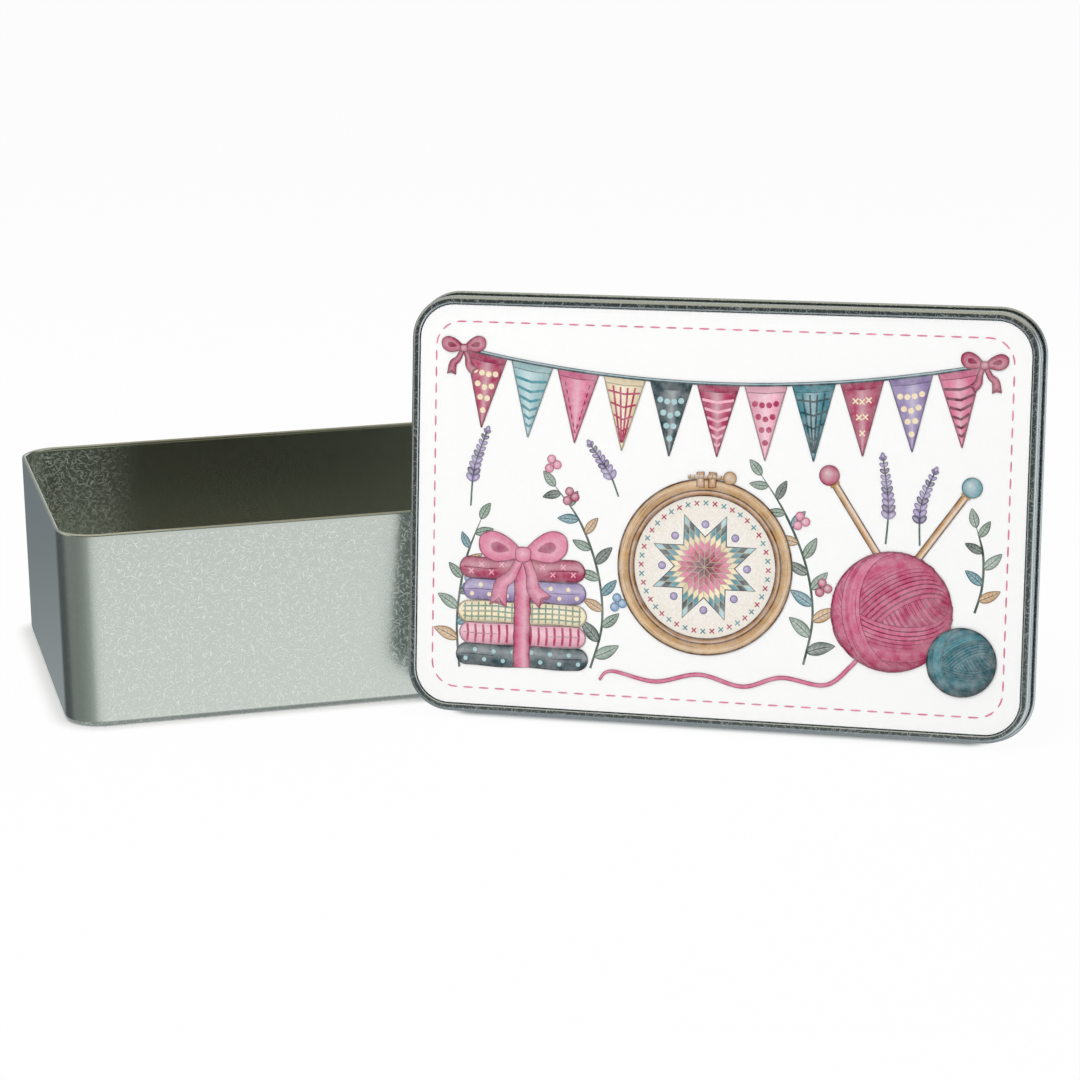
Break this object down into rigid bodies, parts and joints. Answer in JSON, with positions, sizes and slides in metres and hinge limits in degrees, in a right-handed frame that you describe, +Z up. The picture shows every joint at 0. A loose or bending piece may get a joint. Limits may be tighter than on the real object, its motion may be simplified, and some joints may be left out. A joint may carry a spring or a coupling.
{
  "type": "sewing tin",
  "caption": "Rectangular slip-lid sewing tin in plain drawn tinplate: open base with rounded corners and rolled rim, and a lifted-off lid with a raised frame round a printed panel.",
  "frame": {"origin": "middle of the tin's flat underside, on the surface that the tin and its lid stand on", "axes": "+X along the tin's long side, the tin's front wall faces -Y and the lid stands in front of it, +Z up"},
  "size_m": [0.2937, 0.2411, 0.134],
  "materials": {
    "tin_metal": "satin tinplate with fine bright flecks",
    "lid_metal": "satin tinplate with fine bright flecks",
    "panel_print": "semi-gloss white coat under a colour print",
    "adhesive_film": "matt"
  },
  "bodies": {
    "tin": {"tin_base": "tin_metal"},
    "lid": {"lid": "lid_metal", "print_panel": "panel_print", "panel_adhesive": "adhesive_film"}
  },
  "joints": [
    {"name": "lid_lift", "type": "slide", "parent": "tin", "child": "lid", "axis": [0, 0, 1], "range_m": [0, 0.08]}
  ]
}
